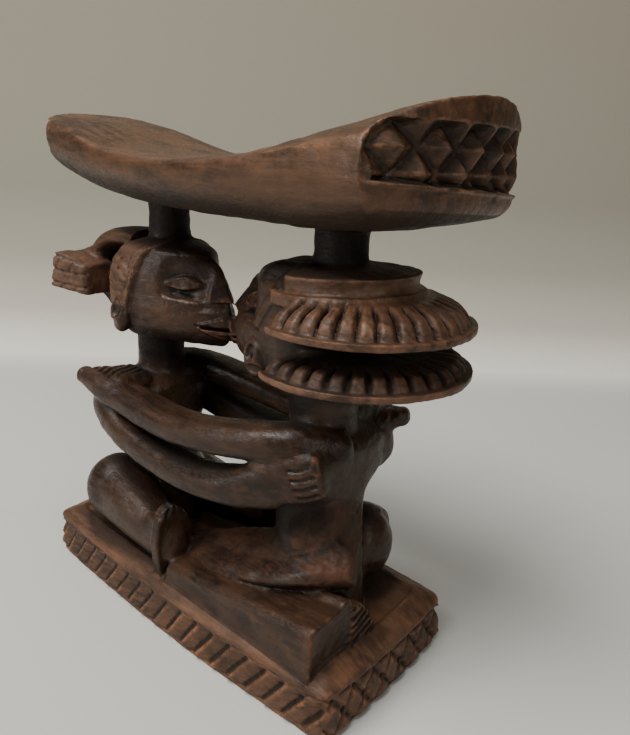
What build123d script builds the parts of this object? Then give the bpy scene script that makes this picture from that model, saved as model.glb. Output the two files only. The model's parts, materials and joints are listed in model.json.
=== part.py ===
from build123d import *
import os

# Figural headrest carved from one block of wood.
# Frame: X along the headrest, Z up, origin in the middle of the underside of the base.
# The left figure sits at -X and looks along +X, the right figure sits at +X and looks along -X.
# "near" is the -Y side and "far" is the +Y side. The limbs repeat under a half turn about Z.

# ---------------- driving dimensions, millimetres ----------------
BASE_HALF_LENGTH = 68.0      # centre to the corner, along X
BASE_HALF_WIDTH = 29.5       # centre to the corner, along Y
BASE_END_BULGE = 1.5         # how far the short sides bow out
BASE_SIDE_BULGE = 3.0        # how far the long sides bow out
BASE_HEIGHT = 18.4
BASE_FLARE = 1.4             # how much further out the underside reaches
BASE_CORNER = 2.5
BASE_TOP_EDGE = 1.2

FIGURE_X = 39.0              # torso and neck axis, from the middle
TORSO_TOP = 80.0
NECK_BOTTOM = 74.0
NECK_TOP = 92.0
LEFT_NECK_RADIUS = 8.4
RIGHT_NECK_RADIUS = 10.2

HEAD_Z = 105.8
LEFT_HEAD_X = -27.6
RIGHT_HEAD_X = 28.2
HEAD_WIDEST = -8.0           # the face narrows like a wedge in front of this
HEAD_SECTIONS = (            # height from the middle; reach to the front, to the back, to the side
    (-15.3, 23.5, 15.5, 13.2),
    (-11.0, 26.4, 19.0, 15.8),
    (-3.8, 26.8, 22.2, 17.1),
    (5.1, 24.2, 22.6, 17.0),
    (12.0, 19.6, 20.4, 14.8),
    (18.2, 8.0, 12.0, 7.0),
)
CAP_SCALE = 1.07             # the hair cap stands this much outside the skull

LEFT_POST_X = -32.0
LEFT_POST_RADIUS = 6.9
RIGHT_POST_X = 42.6
RIGHT_POST_RADIUS = 7.8
POST_TOP = 146.0

PILLOW_MID_HALF_WIDTH = 28.5
PILLOW_LEFT_END = -72.5
PILLOW_RIGHT_END = 81.5
PILLOW_TIP_Z = 164.8

TIER_X = 51.0                # middle of the fans of the right coiffure
TIER_RIM_RADIUS = 30.0
TIER_HALF_SWEEP = 108.0      # degrees either side of +X

HALF_TURN = Rotation(0, 0, 180)


# ---------------- shape helpers ----------------
def ball(centre, radius):
    """A sphere at a point."""
    return Pos(*centre) * Sphere(radius)


def egg(centre, semi_axes):
    """A sphere stretched along X, Y and Z."""
    return Pos(*centre) * scale(Sphere(1), by=semi_axes)


def limb(stations):
    """A smooth limb through (point, half width, half height) stations, with oval sections."""
    points = [Vector(*point) for point, _, _ in stations]
    faces = []
    for i, (_, half_width, half_height) in enumerate(stations):
        along = points[min(i + 1, len(points) - 1)] - points[max(i - 1, 0)]
        across = Vector(0, 0, 1).cross(along)
        plane = Plane(origin=points[i], x_dir=across, z_dir=along)
        faces.append(plane * Ellipse(half_width, half_height))
    return loft(faces)


def carve(piece, *neighbours):
    """The piece without the wood that already belongs to its neighbours."""
    for other in neighbours:
        piece = piece - other
    solids = piece.solids()
    return max(solids, key=lambda solid: solid.volume)


# ---------------- base ----------------
def base_outline(grow):
    """Plan of the base: a rectangle with four bowed sides and rounded corners."""
    x, y = BASE_HALF_LENGTH + grow, BASE_HALF_WIDTH + grow
    bow_x, bow_y = x + BASE_END_BULGE, y + BASE_SIDE_BULGE
    with BuildSketch() as sketch:
        with BuildLine():
            ThreePointArc((-x, -y), (0, -bow_y), (x, -y))
            ThreePointArc((x, -y), (bow_x, 0), (x, y))
            ThreePointArc((x, y), (0, bow_y), (-x, y))
            ThreePointArc((-x, y), (-bow_x, 0), (-x, -y))
        make_face()
        fillet(sketch.vertices(), BASE_CORNER)
    return sketch.sketch


def base_plinth():
    """A thick board, a little wider at the underside, with a softened top edge."""
    shoulder_z = BASE_HEIGHT - BASE_TOP_EDGE
    outlines = ((0, BASE_FLARE), (shoulder_z, 0.0), (BASE_HEIGHT, -BASE_TOP_EDGE))
    lower, shoulder, top = (Pos(0, 0, z) * base_outline(grow) for z, grow in outlines)
    return loft([lower, shoulder], ruled=True) + loft([shoulder, top], ruled=True)


# ---------------- pillow ----------------
def pillow_section(x, bottom, shoulder, half_width, crown, belly):
    """Cross section of the pillow at x: two short sides under a crowned top."""
    low_near, low_far = (-half_width + 2, bottom), (half_width - 2, bottom)
    top_near, top_far = (-half_width, shoulder), (half_width, shoulder)
    plane = Plane(origin=(x, 0, 0), x_dir=(0, 1, 0), z_dir=(1, 0, 0))
    with BuildSketch(plane) as sketch:
        with BuildLine():
            ThreePointArc(low_near, (0, bottom - belly), low_far)
            Line(low_far, top_far)
            ThreePointArc(top_far, (0, shoulder + crown), top_near)
            Line(top_near, low_near)
        make_face()
    return sketch.sketch


def head_pillow():
    """The saddle that carries the head: thin and dipped in the middle, raised at both ends."""
    mid = PILLOW_MID_HALF_WIDTH
    body = loft([
        pillow_section(PILLOW_LEFT_END - 4, 147.8, 157.2, 21.5, 6.3, 2.5),
        pillow_section(-54, 143.8, 155.5, 25.5, 4.0, 3.5),
        pillow_section(-26, 139.8, 150.6, mid - 0.8, 1.6, 3.0),
        pillow_section(2, 137.8, 148.6, mid, 1.0, 2.0),
        pillow_section(30, 137.0, 150.4, mid, 1.8, 1.0),
        pillow_section(56, 137.6, 154.2, mid - 0.5, 5.0, 1.0),
        pillow_section(PILLOW_RIGHT_END + 4, 144.0, 155.6, 26.5, PILLOW_TIP_Z - 155.2, 1.5),
    ])
    with BuildSketch() as plan:
        with BuildLine():
            Line((-66, -40), (68, -40))
            ThreePointArc((68, -40), (PILLOW_RIGHT_END, 2), (74, 40))
            Line((74, 40), (-67, 40))
            ThreePointArc((-67, 40), (PILLOW_LEFT_END, 0), (-66, -40))
        make_face()
    return body & (Pos(0, 0, 120) * extrude(plan.sketch, amount=60))


# ---------------- heads, necks, torsos ----------------
def head_section(z, front, back, side):
    """Outline of the head at one height, looking along -X: blunt face, flat cheeks, round back."""
    blunt = 0.2 * side
    cheek_x, cheek_y = -0.52 * (front + HEAD_WIDEST), 0.72 * side
    with BuildSketch(Plane.XY.offset(HEAD_Z + z)) as sketch:
        with BuildLine():
            Line((-front, blunt), (-front, -blunt))
            ThreePointArc((-front, -blunt), (cheek_x, -cheek_y), (-HEAD_WIDEST, -side))
            ThreePointArc((-HEAD_WIDEST, -side), (back, 0), (-HEAD_WIDEST, side))
            ThreePointArc((-HEAD_WIDEST, side), (cheek_x, cheek_y), (-front, blunt))
        make_face()
    return sketch.sketch


def head():
    """A long wedge-faced head with a flat underside, looking along -X."""
    return loft([head_section(*row) for row in HEAD_SECTIONS])


def right_dome():
    """The squared top of the right head, below its crown."""
    block = Pos(36.0, 0, 113.0) * Box(24.0, 31.0, 21.0)
    return fillet(block.edges(), 5.0)


def neck(x, radius):
    column = Cylinder(radius, NECK_TOP - NECK_BOTTOM)
    return Pos(x, 0, (NECK_TOP + NECK_BOTTOM) / 2) * column


def post(x, radius, foot_z):
    column = Cylinder(radius, POST_TOP - foot_z)
    return Pos(x, 0, (POST_TOP + foot_z) / 2) * column


def torso(x):
    """A column with full hips, a waist and wider shoulders."""
    sections = [
        (BASE_HEIGHT, 15.2, 15.2),
        (38, 13.8, 14.2),
        (54, 12.6, 13.6),
        (64, 12.4, 16.2),
        (TORSO_TOP - 8, 12.2, 17.0),
        (TORSO_TOP, 8.5, 10.5),
    ]
    faces = [Pos(x, 0, z) * Ellipse(half_x, half_y) for z, half_x, half_y in sections]
    return loft(faces)


# ---------------- coiffures ----------------
def left_hair_cap(skull):
    """A cap over the crown and the back of the left head, inside a hairline ridge."""
    centre = Pos(LEFT_HEAD_X, 0, HEAD_Z)
    shell = centre * scale(centre.inverse() * skull, by=CAP_SCALE)
    behind_hairline = Pos(-55, 0, HEAD_Z + 6) * Rotation(0, -14, 0) * Box(44, 50, 60)
    return shell & behind_hairline


def left_hair_arch():
    """The upper lobe: a band that springs from the crown to the cross piece, hollow below."""
    path = [
        ((-40, 0, 121.0), 9.4, 3.6),
        ((-50, 0, 121.8), 9.0, 3.4),
        ((-59, 0, 121.0), 8.8, 3.4),
        ((-66, 0, 117.6), 8.4, 3.4),
        ((-70, 0, 111.5), 8.2, 3.8),
        ((-71, 0, 104.0), 8.0, 4.2),
    ]
    web = Pos(-59, 0, 107.8) * Box(22, 12, 8.6)
    return limb(path) + web


def left_hair_lobe(side):
    """A side lobe of the cross: a leaning block with a slanted end. side is -1 near, +1 far."""
    profile = [(-76.4, 102.4), (-60.0, 100.3), (-60.0, 111.8), (-74.0, 116.2)]
    plan = [(-78, 4 * side), (-58, 4 * side), (-58, 16.2 * side), (-78, 22.9 * side)]
    with BuildSketch(Plane.XZ) as section:
        with BuildLine():
            Polyline(*profile, profile[0])
        make_face()
    with BuildSketch(Plane.XY.offset(95)) as outline:
        with BuildLine():
            Polyline(*plan, plan[0])
        make_face()
    return extrude(section.sketch, amount=30, both=True) & extrude(outline.sketch, amount=25)


def left_hair_keel():
    """The lower lobe: a wedge that runs from the cross down to the nape."""
    profile = [(-70.5, 101.5), (-46, 102.5), (-44, 89.5), (-50, 88.6)]
    with BuildSketch(Plane.XZ) as side:
        with BuildLine():
            Polyline(*profile, profile[0])
        make_face()
    return extrude(side.sketch, amount=6, both=True)


def fan_tier(rim_z, drop):
    """A half-round fan around the back of the right head, sloping to a thin rim."""
    with BuildSketch(Plane.XZ) as profile:
        with BuildLine():
            Polyline(
                (8, rim_z + drop), (TIER_RIM_RADIUS - 9, rim_z + drop),
                (TIER_RIM_RADIUS - 1, rim_z + 2.2), (TIER_RIM_RADIUS, rim_z + 1.0),
                (TIER_RIM_RADIUS - 1, rim_z), (8, rim_z - 0.5), (8, rim_z + drop),
            )
        make_face()
    sweep_angle = 2 * TIER_HALF_SWEEP
    fan = revolve(profile.sketch, Axis.Z, sweep_angle)
    mid_angle = fan.center(CenterOf.BOUNDING_BOX)
    turn = -TIER_HALF_SWEEP if mid_angle.Y > 0 else TIER_HALF_SWEEP
    return Pos(TIER_X, 0, 0) * Rotation(0, 0, turn) * fan


def right_hair_crown():
    """The flat crown of the right head with its plain headband, rising a little to the back."""
    drum = Pos(45.5, 0, 119.0) * Rotation(0, -3, 0) * Cylinder(19.4, 9.6)
    behind_face = Pos(63.0, 0, 119.0) * Box(50, 60, 40)
    return drum & behind_face


# ---------------- limbs ----------------
def over_arm():
    """Right figure, near side: shoulder to wrist, passing over the other figure's arm."""
    return limb([
        ((43.0, -10.5, 74.0), 5.6, 5.6),
        ((31.0, -17.2, 73.6), 6.2, 5.3),
        ((12.0, -20.8, 71.0), 6.4, 5.0),
        ((-5.0, -21.3, 69.8), 6.6, 4.8),
        ((-21.0, -20.8, 70.4), 6.8, 4.6),
        ((-34.0, -20.8, 71.6), 6.6, 4.4),
    ])


def over_hand():
    """Its hand, laid flat against the left figure's shoulder blade."""
    return limb([
        ((-34.0, -20.8, 71.6), 6.6, 4.4),
        ((-43.0, -21.8, 73.4), 6.4, 4.2),
        ((-51.0, -24.4, 75.2), 3.0, 2.6),
    ])


def under_arm(elbow_radius):
    """Left figure, near side: shoulder, round elbow and forearm, passing below the over arm."""
    elbow = ball((-41.5, -17.3, 66.6), elbow_radius)
    return elbow + limb([
        ((-40.5, -13.0, 70.0), 5.0, 5.0),
        ((-40.0, -20.5, 64.4), 5.2, 5.2),
        ((-28.0, -22.4, 60.0), 5.6, 4.8),
        ((-9.0, -22.6, 57.0), 6.0, 4.5),
        ((9.0, -22.6, 56.6), 6.0, 4.5),
        ((25.0, -20.8, 59.6), 5.6, 5.0),
        ((36.0, -17.8, 63.0), 4.2, 6.0),
    ])


def under_hand():
    """Its hand, spread over the right figure's waist."""
    return limb([
        ((36.0, -17.8, 63.0), 4.2, 6.0),
        ((43.0, -15.8, 65.0), 3.2, 7.0),
        ((50.0, -12.2, 66.5), 2.2, 6.0),
    ])


def open_hip():
    """Left figure, near side: the full round hip."""
    return ball((-44.0, -18.5, 32.0), 11.6)


def open_leg():
    """Its leg, running forward from the hip to the ankle."""
    return limb([
        ((-42.0, -18.5, 32.0), 10.6, 11.0),
        ((-26.0, -20.5, 29.6), 9.4, 9.8),
        ((-13.0, -22.4, 28.2), 6.9, 8.4),
        ((-7.0, -23.2, 29.4), 5.8, 9.2),
    ])


def open_foot():
    """Its foot, standing on the heel with the sole turned to the middle."""
    outline = [(-28.8, BASE_HEIGHT), (-18.6, BASE_HEIGHT), (-15.6, 31.5), (-19.0, 38.8),
               (-24.0, 43.0), (-28.8, 42.0), (-31.0, 31.0)]
    plane = Plane(origin=(-7.4, 0, 0), x_dir=(0, 1, 0), z_dir=(1, 0, 0))
    with BuildSketch(plane) as sole:
        with BuildLine():
            Polyline(*outline, outline[0])
        make_face()
    return extrude(sole.sketch, amount=4.8)


def folded_thigh():
    """Right figure, near side: the thigh from the hip forward to the knee."""
    return limb([
        ((52.0, -14.0, 36.5), 9.0, 8.6),
        ((34.0, -16.0, 33.0), 9.6, 9.0),
        ((16.0, -18.0, 29.0), 8.6, 7.6),
        ((2.0, -20.0, 26.0), 6.2, 5.6),
    ])


def folded_shin():
    """Its lower leg, folded back along the edge of the base and squared off at the heel."""
    heel = [(-28.6, BASE_HEIGHT), (-11.5, BASE_HEIGHT), (-10.0, 28.5), (-25.5, 32.6)]
    knee = [(-29.4, BASE_HEIGHT), (-16.0, BASE_HEIGHT), (-17.0, 25.5), (-27.6, 26.5)]
    ends = []
    for x, corners in ((0.5, knee), (61.5, heel)):
        plane = Plane(origin=(x, 0, 0), x_dir=(0, 1, 0), z_dir=(1, 0, 0))
        with BuildSketch(plane) as section:
            with BuildLine():
                Polyline(*corners, corners[0])
            make_face()
        ends.append(section.sketch)
    return loft(ends)


def folded_foot():
    """Its foot, turned in behind the seat, falling away to the toes."""
    outline = [(-13.0, BASE_HEIGHT), (-13.0, 31.2), (-8.0, 31.0), (-1.2, 23.0), (-0.8, BASE_HEIGHT)]
    plane = Plane(origin=(50.6, 0, 0), x_dir=(0, 1, 0), z_dir=(1, 0, 0))
    with BuildSketch(plane) as side:
        with BuildLine():
            Polyline(*outline, outline[0])
        make_face()
    return extrude(side.sketch, amount=11.8)


# ---------------- assembly ----------------
def build():
    parts = {}
    base = base_plinth()
    pillow = head_pillow()
    left_torso, right_torso = torso(-FIGURE_X), torso(FIGURE_X)
    left_skull = Pos(LEFT_HEAD_X, 0, 0) * HALF_TURN * head()
    right_skull = carve(Pos(RIGHT_HEAD_X, 0, 0) * head() + right_dome(), left_skull)
    parts["base_plinth"] = base
    parts["head_pillow"] = pillow
    parts["left_torso"] = carve(left_torso, base)
    parts["right_torso"] = carve(right_torso, base)
    parts["left_head"] = left_skull
    parts["right_head"] = right_skull
    parts["left_neck"] = carve(neck(-FIGURE_X, LEFT_NECK_RADIUS), left_torso, left_skull)
    parts["right_neck"] = carve(neck(FIGURE_X, RIGHT_NECK_RADIUS), right_torso, right_skull)

    cap = carve(left_hair_cap(left_skull), left_skull, parts["left_neck"])
    arch = carve(left_hair_arch(), cap, left_skull)
    parts["left_hair_cap"] = cap
    parts["left_hair_arch"] = arch
    for side, name in ((-1, "near"), (1, "far")):
        parts[f"left_hair_{name}_lobe"] = carve(left_hair_lobe(side), cap, arch, left_skull)
    lobes = [parts["left_hair_near_lobe"], parts["left_hair_far_lobe"]]
    parts["left_hair_keel"] = carve(left_hair_keel(), cap, arch, left_skull,
                                    parts["left_neck"], *lobes)

    crown = carve(right_hair_crown(), right_skull)
    parts["right_hair_crown"] = crown
    upper = carve(fan_tier(109.1, 8.6), right_skull, crown)
    parts["right_hair_upper_fan"] = upper
    lower = carve(fan_tier(96.8, 5.8), right_skull, parts["right_neck"])
    parts["right_hair_lower_fan"] = lower

    parts["left_post"] = carve(post(LEFT_POST_X, LEFT_POST_RADIUS, 118), left_skull, cap, pillow)
    parts["right_post"] = carve(post(RIGHT_POST_X, RIGHT_POST_RADIUS, 118),
                                right_skull, crown, upper, pillow)

    # Limbs: each shape is made for one figure and turned half round for the other; the far
    # right elbow is a little rounder than its twin.
    bodies = [base, left_torso, right_torso, parts["left_neck"], parts["right_neck"]]
    over = over_arm()
    over_palm = carve(over_hand(), *bodies, over)
    parts["right_near_arm"] = carve(over, *bodies)
    parts["left_far_arm"] = HALF_TURN * parts["right_near_arm"]
    parts["right_near_hand"] = over_palm
    parts["left_far_hand"] = HALF_TURN * over_palm
    for figure, side, elbow_radius, turn in (
        ("left", "near", 8.3, Rotation(0, 0, 0)),
        ("right", "far", 9.6, HALF_TURN),
    ):
        under = under_arm(elbow_radius)
        parts[f"{figure}_{side}_arm"] = turn * carve(under, *bodies, over, over_palm)
        parts[f"{figure}_{side}_hand"] = turn * carve(under_hand(), *bodies, under, over)

    shin = carve(folded_shin(), *bodies)
    thigh = carve(folded_thigh(), *bodies, shin)
    heel_foot = carve(folded_foot(), base, shin, thigh, right_torso)
    hip = carve(open_hip(), *bodies)
    leg = carve(open_leg(), *bodies, hip)
    open_sole = carve(open_foot(), base, leg, shin, thigh)
    twins = {
        "right_near_thigh": (thigh, "left_far_thigh"),
        "right_near_shin": (shin, "left_far_shin"),
        "right_near_foot": (heel_foot, "left_far_foot"),
        "left_near_hip": (hip, "right_far_hip"),
        "left_near_leg": (leg, "right_far_leg"),
        "left_near_foot": (open_sole, "right_far_foot"),
    }
    for name, (piece, twin_name) in twins.items():
        parts[name] = piece
        parts[twin_name] = HALF_TURN * piece
    return parts


os.makedirs("parts", exist_ok=True)
for node, piece in build().items():
    export_step(piece, f"parts/{node}.step")
    print(node, round(piece.volume, 1))
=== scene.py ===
import json
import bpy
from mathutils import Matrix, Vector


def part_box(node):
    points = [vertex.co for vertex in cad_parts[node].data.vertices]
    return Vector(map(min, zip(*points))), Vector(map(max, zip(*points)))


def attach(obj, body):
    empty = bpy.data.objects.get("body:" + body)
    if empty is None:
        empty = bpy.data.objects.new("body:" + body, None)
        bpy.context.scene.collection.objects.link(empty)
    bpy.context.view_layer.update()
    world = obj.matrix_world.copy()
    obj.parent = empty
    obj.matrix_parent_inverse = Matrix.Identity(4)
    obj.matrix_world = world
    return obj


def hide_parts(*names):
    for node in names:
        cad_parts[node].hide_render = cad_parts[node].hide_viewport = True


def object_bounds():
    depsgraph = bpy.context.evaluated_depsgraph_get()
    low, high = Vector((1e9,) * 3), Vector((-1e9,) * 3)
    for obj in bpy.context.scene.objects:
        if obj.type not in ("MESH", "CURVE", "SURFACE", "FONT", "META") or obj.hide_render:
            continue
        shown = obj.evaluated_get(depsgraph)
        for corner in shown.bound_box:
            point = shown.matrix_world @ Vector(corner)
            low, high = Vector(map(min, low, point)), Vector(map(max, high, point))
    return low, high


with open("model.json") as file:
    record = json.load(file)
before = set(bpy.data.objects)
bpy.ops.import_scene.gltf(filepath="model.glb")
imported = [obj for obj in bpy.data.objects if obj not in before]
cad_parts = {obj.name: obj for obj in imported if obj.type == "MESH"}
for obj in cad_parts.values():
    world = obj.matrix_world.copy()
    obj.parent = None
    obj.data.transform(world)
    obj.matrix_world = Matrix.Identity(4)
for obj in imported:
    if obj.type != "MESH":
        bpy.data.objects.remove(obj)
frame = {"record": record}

from concurrent.futures import ThreadPoolExecutor
from math import cos, radians, sin

import bpy
import numpy as np
import openvdb
from mathutils import Matrix, Vector

# Looks of the carved headrest. Shapes are signed distance fields in millimetres, in the part's
# own frame and negative inside the wood. Every carved element has its own field, neighbours melt
# into each other along their joint, and each element is then meshed as its own piece.
# A half turn about Z brings each limb of one figure onto the same limb of the other.

CAD_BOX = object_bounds()
MM = 0.001
LOWEST, HIGHEST = (np.array(corner, float) / MM for corner in CAD_BOX)    # of the whole object, mm
VOXEL = 0.68    # mesh cell, mm
FINE_VOXEL = 0.46
FINE = ("head", "hair", "hand", "foot")    # words in the names of the pieces with the finer cell
BLOCK = 8                              # cells along the side of one evaluation block
MARGIN = 6.5                           # how far a piece may stand outside its CAD box, mm
REACH = 7.0                            # how far from its CAD box a neighbour still counts, mm
FAR = 9.0                              # distance given to wood beyond that reach, mm
MELT = 0.55                            # softness of the joint between neighbours, mm
SKIRT = 1.6                            # how far a piece runs on under its neighbour, mm
SINK = 0.5                             # how deep that hidden skirt lies, mm


def box_mm(node):
    """Lowest and highest corner of a CAD node, in millimetres."""
    low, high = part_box(node)
    return np.array(low) / MM, np.array(high) / MM


BASE_HIGH = box_mm("base_plinth")[1]
PILLOW_LOW, PILLOW_HIGH = box_mm("head_pillow")
BASE_TOP = BASE_HIGH[2]


# ---------------- small tools for fields ----------------
def smooth_max(a, b, k):
    """The larger of two fields, rounded over about k mm where they meet."""
    h = np.clip(0.5 - 0.5 * (b - a) / k, 0.0, 1.0)
    return b + (a - b) * h + k * h * (1.0 - h)


def smooth_min(a, b, k):
    return -smooth_max(-a, -b, k)


def ramp(value, low, high):
    """0 below low, 1 above high, smooth between."""
    t = np.clip((value - low) / (high - low), 0.0, 1.0)
    return t * t * (3.0 - 2.0 * t)


def hill(value, width):
    """1 at 0, falling smoothly to 0 at plus or minus width."""
    return 1.0 - ramp(np.abs(value), 0.0, width)


def half_turn(points):
    """The point that a half turn about Z brings to this place."""
    return points * np.array([-1.0, -1.0, 1.0], np.float32)


def radial(offset, semi):
    """Distance to an oval from its middle, measured along the ray."""
    scaled = np.sqrt(np.maximum(((offset / semi) ** 2).sum(1), 1e-4))
    length = np.sqrt((offset ** 2).sum(1))
    return np.where(scaled < 0.08, -min(semi), length * (1.0 - 1.0 / scaled))


def egg(points, centre, semi):
    """An oval solid with these half sizes."""
    return radial(points - np.array(centre, np.float32), np.array(semi, np.float32))


def curve(x, stations, values):
    """Smooth curve through a few values: a cubic with slopes from the neighbours."""
    xs, ys = np.array(stations, float), np.array(values, float)
    slopes = np.gradient(ys, xs)
    i = np.clip(np.searchsorted(xs, x) - 1, 0, len(xs) - 2)
    span = xs[i + 1] - xs[i]
    t = np.clip((x - xs[i]) / span, 0.0, 1.0)
    a, b = ys[i], ys[i + 1]
    c, d = slopes[i] * span, slopes[i + 1] * span
    return ((2*t**3 - 3*t**2 + 1) * a + (t**3 - 2*t**2 + t) * c
            + (3*t**2 - 2*t**3) * b + (t**3 - t**2) * d)


def limb(points, stations, boxy=2.0):
    """A limb through (x, y, z, half width, half height) stations; boxy squares its section."""
    rows = np.array(stations, float)
    place = np.arange(len(rows))
    fine = np.linspace(0, len(rows) - 1, 4 * (len(rows) - 1) + 1)
    path = np.stack([curve(fine, place, rows[:, k]) for k in range(5)], 1).astype(np.float32)
    tangents = np.gradient(path[:, :3], axis=0)
    best = np.full(len(points), 1e9, np.float32)
    offset = np.zeros_like(points)
    shape = np.zeros((len(points), 5), np.float32)
    for i in range(len(path) - 1):
        start, step = path[i, :3], path[i + 1, :3] - path[i, :3]
        t = np.clip((points - start) @ step / (step @ step), 0.0, 1.0)
        q = points - start - t[:, None] * step
        squared = (q ** 2).sum(1)
        nearer = squared < best
        best = np.where(nearer, squared, best)
        offset[nearer] = q[nearer]
        t = t[nearer, None]
        shape[nearer, :2] = path[i, 3:] * (1 - t) + path[i + 1, 3:] * t
        shape[nearer, 2:] = tangents[i] * (1 - t) + tangents[i + 1] * t
    along = shape[:, 2:] / np.linalg.norm(shape[:, 2:], axis=1, keepdims=True)
    side = np.stack([-along[:, 1], along[:, 0], np.zeros(len(points))], 1)
    side /= np.maximum(np.linalg.norm(side, axis=1, keepdims=True), 1e-4)
    up = np.cross(along, side)
    wide, tall = shape[:, 0], shape[:, 1]
    s = np.abs((offset * side).sum(1)) / wide
    u = np.abs((offset * up).sum(1)) / tall
    f = np.abs((offset * along).sum(1)) / np.minimum(wide, tall)
    scaled = np.maximum((s ** boxy + u ** boxy + f ** boxy) ** (1.0 / boxy), 1e-3)
    length = np.sqrt(best)
    return np.where(scaled < 0.08, -np.minimum(wide, tall), length * (1.0 - 1.0 / scaled))


def block(points, centre, half, round_by, turn=0.0):
    """A box with rounded edges, turned about Z by degrees."""
    q = points - np.array(centre, np.float32)
    c, s = cos(radians(turn)), sin(radians(turn))
    q = np.stack([c * q[:, 0] + s * q[:, 1], c * q[:, 1] - s * q[:, 0], q[:, 2]], 1)
    q = np.abs(q) - (np.array(half, np.float32) - round_by)
    outside = np.sqrt((np.maximum(q, 0.0) ** 2).sum(1))
    return outside + np.minimum(q.max(1), 0.0) - round_by


def polygon(u, v, corners):
    """Distance to a convex outline whose corners go round it in one sense."""
    corners = np.array(corners, float)
    centre = corners.mean(0)
    distance = np.full(len(u), -1e9)
    for (u0, v0), (u1, v1) in zip(corners, np.roll(corners, -1, axis=0)):
        normal = np.array([v1 - v0, u0 - u1]) / np.hypot(u1 - u0, v1 - v0)
        if normal @ (centre - (u0, v0)) > 0:
            normal = -normal
        distance = smooth_max(distance, (u - u0) * normal[0] + (v - v0) * normal[1], 1.2)
    return distance


def from_line(u, v, start, end):
    """Distance in a plane to a straight stroke."""
    start, step = np.array(start, float), np.array(end, float) - start
    t = np.clip(((u - start[0]) * step[0] + (v - start[1]) * step[1]) / (step @ step), 0.0, 1.0)
    return np.hypot(u - start[0] - t * step[0], v - start[1] - t * step[1])


def notch(distance, depth, width):
    """A V-shaped cut: how much wood goes at this distance from its line."""
    return depth * np.maximum(0.0, 1.0 - distance / width)


CELL_MIX = (73856093, 19349663, 83492791)    # large primes that scatter neighbouring cells
SEED_MIX, LAST_MIX = 2654435761, 1274126177


def lattice(points, seed):
    """A repeatable random number between 0 and 1 for each whole-numbered cell."""
    cell = points.astype(np.int64)
    mixed = seed * SEED_MIX
    for axis, prime in enumerate(CELL_MIX):
        mixed = mixed ^ (cell[:, axis] * prime)
    mixed = (mixed ^ (mixed >> 13)) * LAST_MIX
    return ((mixed ^ (mixed >> 16)) & 0xFFFF) / 65535.0


def noise(points, cell_size, seed):
    """Smooth noise between -1 and 1; cell_size in mm, one number or one for each axis."""
    scaled = points / np.array(cell_size, float) + 500.0
    corner = np.floor(scaled)
    t = scaled - corner
    t = t * t * (3.0 - 2.0 * t)
    total = 0.0
    for dx in (0, 1):
        for dy in (0, 1):
            for dz in (0, 1):
                weight = (t[:, 0] if dx else 1 - t[:, 0]) * (t[:, 1] if dy else 1 - t[:, 1])
                weight = weight * (t[:, 2] if dz else 1 - t[:, 2])
                total = total + weight * lattice(corner + (dx, dy, dz), seed)
    return 2.0 * total - 1.0


# ---------------- base ----------------
BASE_FLARE = 1.4             # how far the sides lean in from bottom to top
BASE_BOW = (1.7, 3.0)        # along X at the ends, along Y on the long sides
BAND_TOP, BAND_BOTTOM = 13.0, 1.0
SIDE_PITCH, END_PITCH = 7.3, 8.8
TILE_DIP = 2.0               # depth of the slanted tiles on the long sides
LOZENGE_CUTS = (1.5, 1.2)    # depth of the two crossing sets of cuts on the ends
EDGE_BEVEL = 5.6             # how far the bevel reaches in over the top


def base_wall(points):
    """Signed distance to the upright sides, and which side: True on the two ends."""
    x, y, z = points.T
    lean = BASE_FLARE * z / BASE_TOP
    half_x, half_y = BASE_HIGH[0] - 0.3 - lean, BASE_HIGH[1] - 0.3 - lean
    end = np.abs(x) - (half_x - BASE_BOW[0] * (y / half_y) ** 2)
    side = np.abs(y) - (half_y - BASE_BOW[1] * (x / half_x) ** 2)
    return smooth_max(end, side, 3.0), end > side


def lozenge_band(points, on_end):
    """Slanted tiles that dip away from one edge, and on the ends a second set across them."""
    x, y, z = points.T
    wobble = 0.7 * noise(points, 11.0, 5)
    rise = (z - (BAND_TOP + BAND_BOTTOM) / 2) / (BAND_TOP - BAND_BOTTOM) * np.where(on_end, -1.0, 1.25)
    along = np.where(on_end, y * np.sign(x) / END_PITCH, -x * np.sign(y) / SIDE_PITCH) + wobble / 14
    tile = (along - rise) % 1.0
    across = np.abs((along + rise) % 1.0 - 0.5)
    dip = TILE_DIP * np.minimum(tile / 0.88, (1.0 - tile) / 0.12)
    lozenges = notch(np.abs(tile - 0.5), LOZENGE_CUTS[0], 0.17) + notch(across, LOZENGE_CUTS[1], 0.15)
    cut = np.where(on_end, lozenges, dip + 0.25 * notch(across, 1.0, 0.06))
    above_foot = ramp(z, BAND_BOTTOM - 0.4, BAND_BOTTOM + 0.6)
    below_ledge = 1 - ramp(z, BAND_TOP - 0.6, BAND_TOP + 0.3)
    return cut * above_foot * below_ledge


def base_plinth(points):
    """A slab with a bevelled upper edge and a carved band round its sides, open at the foot."""
    z = points[:, 2]
    wall, on_end = base_wall(points)
    bevel = (z - BASE_TOP + 0.48 * (wall + EDGE_BEVEL)) / 1.12
    top = z - BASE_TOP + 0.8 * ramp(-wall, 6.4, 7.6)
    body = smooth_max(smooth_max(wall, bevel, 0.8), top, 0.7)
    body = body + 0.8 * hill(z - BAND_TOP - 0.6, 0.8) * ramp(wall, -1.5, -0.3)
    body = body + lozenge_band(points, on_end) * ramp(wall, -3.2, -2.2)
    foot = 1.6 * (1 - ramp(z, 0.0, 2.2))
    return np.maximum(body + foot, -z)


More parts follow.
